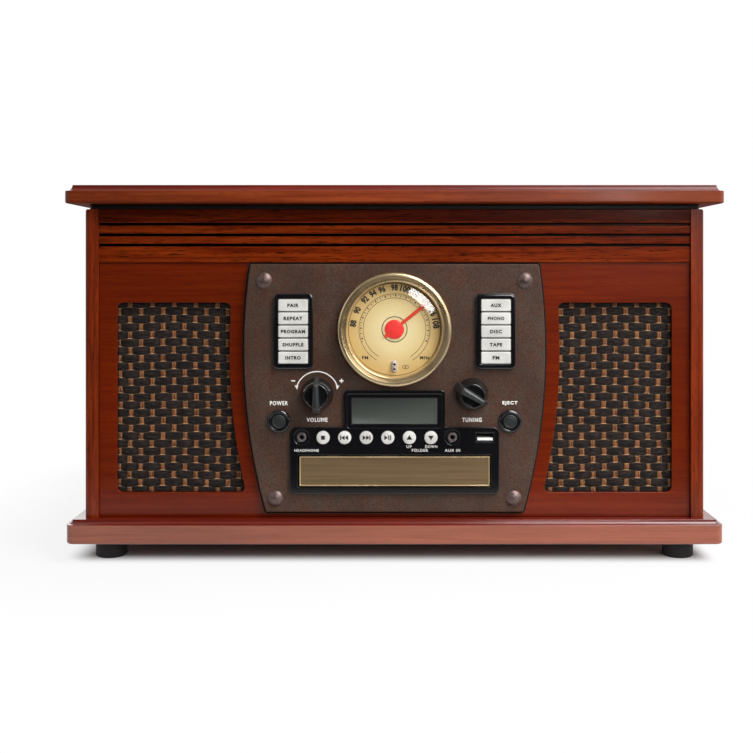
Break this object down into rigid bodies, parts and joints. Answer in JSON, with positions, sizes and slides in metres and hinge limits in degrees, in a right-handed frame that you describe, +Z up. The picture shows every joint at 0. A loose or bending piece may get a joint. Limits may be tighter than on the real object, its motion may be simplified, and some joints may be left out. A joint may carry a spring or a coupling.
{
  "type": "stereo music centre",
  "caption": "Wooden table-top music centre with round tuning dial, cloth speaker grilles, disc drawer, cassette slot and a record deck under the lid.",
  "frame": {"origin": "on the floor plane, under the middle of the box round the whole object", "axes": "+X to the right as seen from the front, +Y to the back, +Z up"},
  "size_m": [0.5, 0.378, 0.287],
  "materials": {
    "wood_base": "reddish brown stained wood, satin lacquer",
    "rubber_foot": "black moulded rubber",
    "wood_side": "reddish brown veneer, satin lacquer",
    "wood_front": "mahogany veneer, gloss lacquer",
    "rear_board": "black painted fibreboard",
    "black_plastic": "fine textured moulding",
    "wood_lid": "reddish brown stained wood, satin lacquer",
    "brass_leaf": "plain rolled brass",
    "steel_screw": "zinc-plated",
    "grille_cloth": "open weave of brown and black yarn",
    "driver_steel": "black pressed steel",
    "leatherette": "fine grained brown leatherette on board",
    "bronze_rivet": "aged bronze dome",
    "black_gloss": "gloss moulding",
    "brass_bezel": "polished champagne brass plating",
    "clear_lens": "clear flat lens",
    "cream_dial": "printed cream dial card",
    "red_plastic": "gloss moulding",
    "knob_plastic": "semi-gloss moulding",
    "white_plastic": "semi-gloss moulding, printed legend",
    "display_grey": "unlit grey display glass",
    "mechanism_steel": "zinc-plated sheet",
    "tray_plastic": "fine textured moulding",
    "brushed_brass": "brushed, dark brass tone",
    "socket_metal": "nickel-plated contacts in black bodies",
    "circuit_board": "green glass-fibre board with parts",
    "belt_rubber": "ground flat belt",
    "brass_pulley": "turned brass",
    "platter_alloy": "cast and turned",
    "mat_rubber": "ribbed slip mat",
    "arm_alloy": "satin tube, black headshell",
    "lever_alloy": "satin",
    "deck_plastic": "textured moulding"
  },
  "bodies": {
    "cabinet": {"base_board": "wood_base", "feet": "rubber_foot", "side_panel_left": "wood_side", "side_panel_right": "wood_side", "front_baffle": "wood_front", "fluted_trim": "wood_front", "rear_panel": "rear_board", "deck_plinth": "black_plastic", "cabinet_hinge_leaves": "brass_leaf", "cabinet_screws": "steel_screw", "speaker_cloths": "grille_cloth", "speaker_drivers": "driver_steel", "control_plate": "leatherette", "plate_rivets": "bronze_rivet", "control_bezels": "black_gloss", "dial_bezel": "brass_bezel", "dial_glass": "clear_lens", "dial_face": "cream_dial", "cd_fascia": "black_gloss", "display_module": "display_grey", "cd_mechanism": "mechanism_steel", "sockets": "socket_metal", "main_board": "circuit_board", "drive_unit": "mechanism_steel", "drive_belt": "belt_rubber", "cassette_deck": "deck_plastic"},
    "lid": {"lid": "wood_lid", "lid_hinge_leaves": "brass_leaf"},
    "platter": {"platter": "platter_alloy", "platter_mat": "mat_rubber"},
    "motor_pulley": {"motor_pulley": "brass_pulley"},
    "tonearm_turret": {"tonearm_turret": "black_plastic"},
    "tonearm": {"tonearm": "arm_alloy"},
    "cue_lever": {"cue_lever": "black_plastic"},
    "speed_lever": {"speed_lever": "lever_alloy"},
    "volume_knob": {"volume_knob": "knob_plastic"},
    "tuning_knob": {"tuning_knob": "knob_plastic"},
    "dial_pointer": {"dial_pointer": "red_plastic"},
    "power_button": {"power_button": "knob_plastic"},
    "eject_button": {"eject_button": "knob_plastic"},
    "cd_tray": {"cd_tray": "tray_plastic", "cd_tray_front": "brushed_brass"},
    "cassette_door": {"cassette_door": "black_plastic"},
    "cassette_button": {"cassette_button": "black_plastic"},
    "stop_button": {"stop_button": "white_plastic"},
    "previous_button": {"previous_button": "white_plastic"},
    "next_button": {"next_button": "white_plastic"},
    "play_button": {"play_button": "white_plastic"},
    "up_button": {"up_button": "white_plastic"},
    "down_button": {"down_button": "white_plastic"},
    "key_left_1": {"key_left_1": "white_plastic"},
    "key_left_2": {"key_left_2": "white_plastic"},
    "key_left_3": {"key_left_3": "white_plastic"},
    "key_left_4": {"key_left_4": "white_plastic"},
    "key_left_5": {"key_left_5": "white_plastic"},
    "key_right_1": {"key_right_1": "white_plastic"},
    "key_right_2": {"key_right_2": "white_plastic"},
    "key_right_3": {"key_right_3": "white_plastic"},
    "key_right_4": {"key_right_4": "white_plastic"},
    "key_right_5": {"key_right_5": "white_plastic"}
  },
  "joints": [
    {"name": "lid_hinge", "type": "hinge", "parent": "cabinet", "child": "lid", "pos_m": [0, 0.1776, 0.2707], "axis": [-1, 0, 0], "range_deg": [0, 80]},
    {"name": "platter_spin", "type": "hinge", "parent": "cabinet", "child": "platter", "pos_m": [-0.052, 0.007, 0.24], "axis": [0, 0, -1], "continuous": true},
    {"name": "pulley_spin", "type": "hinge", "parent": "cabinet", "child": "motor_pulley", "pos_m": [-0.117, 0.072, 0.232], "axis": [0, 0, -1], "continuous": true},
    {"name": "arm_swing", "type": "hinge", "parent": "cabinet", "child": "tonearm_turret", "pos_m": [0.11, 0.085, 0.258], "axis": [0, 0, -1], "range_deg": [0, 48]},
    {"name": "arm_lift", "type": "hinge", "parent": "tonearm_turret", "child": "tonearm", "pos_m": [0.11, 0.085, 0.258], "axis": [-1, 0, 0], "range_deg": [0, 4.2]},
    {"name": "cue_lever_tilt", "type": "hinge", "parent": "cabinet", "child": "cue_lever", "pos_m": [0.15, 0.062, 0.234], "axis": [-1, 0, 0], "range_deg": [0, 60]},
    {"name": "speed_select", "type": "slide", "parent": "cabinet", "child": "speed_lever", "axis": [0, 1, 0], "range_m": [0, 0.016]},
    {"name": "volume_turn", "type": "hinge", "parent": "cabinet", "child": "volume_knob", "pos_m": [-0.0592, -0.17, 0.1273], "axis": [0, 1, 0], "range_deg": [-150, 150]},
    {"name": "tuning_turn", "type": "hinge", "parent": "cabinet", "child": "tuning_knob", "pos_m": [0.0592, -0.17, 0.1273], "axis": [0, 1, 0], "range_deg": [-399.6, 92.4]},
    {"name": "pointer_turn", "type": "hinge", "parent": "cabinet", "child": "dial_pointer", "pos_m": [0, -0.17, 0.177], "axis": [0, 1, 0], "range_deg": [-133.2, 30.8]},
    {"name": "power_press", "type": "slide", "parent": "cabinet", "child": "power_button", "axis": [0, 1, 0], "range_m": [0, 0.002], "stiffness_N_per_m": 300},
    {"name": "eject_press", "type": "slide", "parent": "cabinet", "child": "eject_button", "axis": [0, 1, 0], "range_m": [0, 0.002], "stiffness_N_per_m": 300},
    {"name": "disc_drawer", "type": "slide", "parent": "cabinet", "child": "cd_tray", "axis": [0, -1, 0], "range_m": [0, 0.138]},
    {"name": "cassette_flap", "type": "hinge", "parent": "cabinet", "child": "cassette_door", "pos_m": [0.235, 0.01, 0.1605], "axis": [0, 1, 0], "range_deg": [0, 82], "stiffness_Nm_per_rad": 0.004, "springref_deg": -20.05},
    {"name": "cassette_press", "type": "slide", "parent": "cabinet", "child": "cassette_button", "axis": [-1, 0, 0], "range_m": [0, 0.003], "stiffness_N_per_m": 300},
    {"name": "stop_press", "type": "slide", "parent": "cabinet", "child": "stop_button", "axis": [0, 1, 0], "range_m": [0, 0.0011], "stiffness_N_per_m": 300},
    {"name": "previous_press", "type": "slide", "parent": "cabinet", "child": "previous_button", "axis": [0, 1, 0], "range_m": [0, 0.0011], "stiffness_N_per_m": 300},
    {"name": "next_press", "type": "slide", "parent": "cabinet", "child": "next_button", "axis": [0, 1, 0], "range_m": [0, 0.0011], "stiffness_N_per_m": 300},
    {"name": "play_press", "type": "slide", "parent": "cabinet", "child": "play_button", "axis": [0, 1, 0], "range_m": [0, 0.0011], "stiffness_N_per_m": 300},
    {"name": "up_press", "type": "slide", "parent": "cabinet", "child": "up_button", "axis": [0, 1, 0], "range_m": [0, 0.0011], "stiffness_N_per_m": 300},
    {"name": "down_press", "type": "slide", "parent": "cabinet", "child": "down_button", "axis": [0, 1, 0], "range_m": [0, 0.0011], "stiffness_N_per_m": 300},
    {"name": "key_left_1_press", "type": "slide", "parent": "cabinet", "child": "key_left_1", "axis": [0, 1, 0], "range_m": [0, 0.002], "stiffness_N_per_m": 300},
    {"name": "key_left_2_press", "type": "slide", "parent": "cabinet", "child": "key_left_2", "axis": [0, 1, 0], "range_m": [0, 0.002], "stiffness_N_per_m": 300},
    {"name": "key_left_3_press", "type": "slide", "parent": "cabinet", "child": "key_left_3", "axis": [0, 1, 0], "range_m": [0, 0.002], "stiffness_N_per_m": 300},
    {"name": "key_left_4_press", "type": "slide", "parent": "cabinet", "child": "key_left_4", "axis": [0, 1, 0], "range_m": [0, 0.002], "stiffness_N_per_m": 300},
    {"name": "key_left_5_press", "type": "slide", "parent": "cabinet", "child": "key_left_5", "axis": [0, 1, 0], "range_m": [0, 0.002], "stiffness_N_per_m": 300},
    {"name": "key_right_1_press", "type": "slide", "parent": "cabinet", "child": "key_right_1", "axis": [0, 1, 0], "range_m": [0, 0.002], "stiffness_N_per_m": 300},
    {"name": "key_right_2_press", "type": "slide", "parent": "cabinet", "child": "key_right_2", "axis": [0, 1, 0], "range_m": [0, 0.002], "stiffness_N_per_m": 300},
    {"name": "key_right_3_press", "type": "slide", "parent": "cabinet", "child": "key_right_3", "axis": [0, 1, 0], "range_m": [0, 0.002], "stiffness_N_per_m": 300},
    {"name": "key_right_4_press", "type": "slide", "parent": "cabinet", "child": "key_right_4", "axis": [0, 1, 0], "range_m": [0, 0.002], "stiffness_N_per_m": 300},
    {"name": "key_right_5_press", "type": "slide", "parent": "cabinet", "child": "key_right_5", "axis": [0, 1, 0], "range_m": [0, 0.002], "stiffness_N_per_m": 300}
  ],
  "couplings": [
    {"joint": "pulley_spin", "follows": "platter_spin", "ratio": 11.667},
    {"joint": "arm_lift", "follows": "cue_lever_tilt", "ratio": 0.07},
    {"joint": "pointer_turn", "follows": "tuning_turn", "ratio": 0.33333}
  ]
}
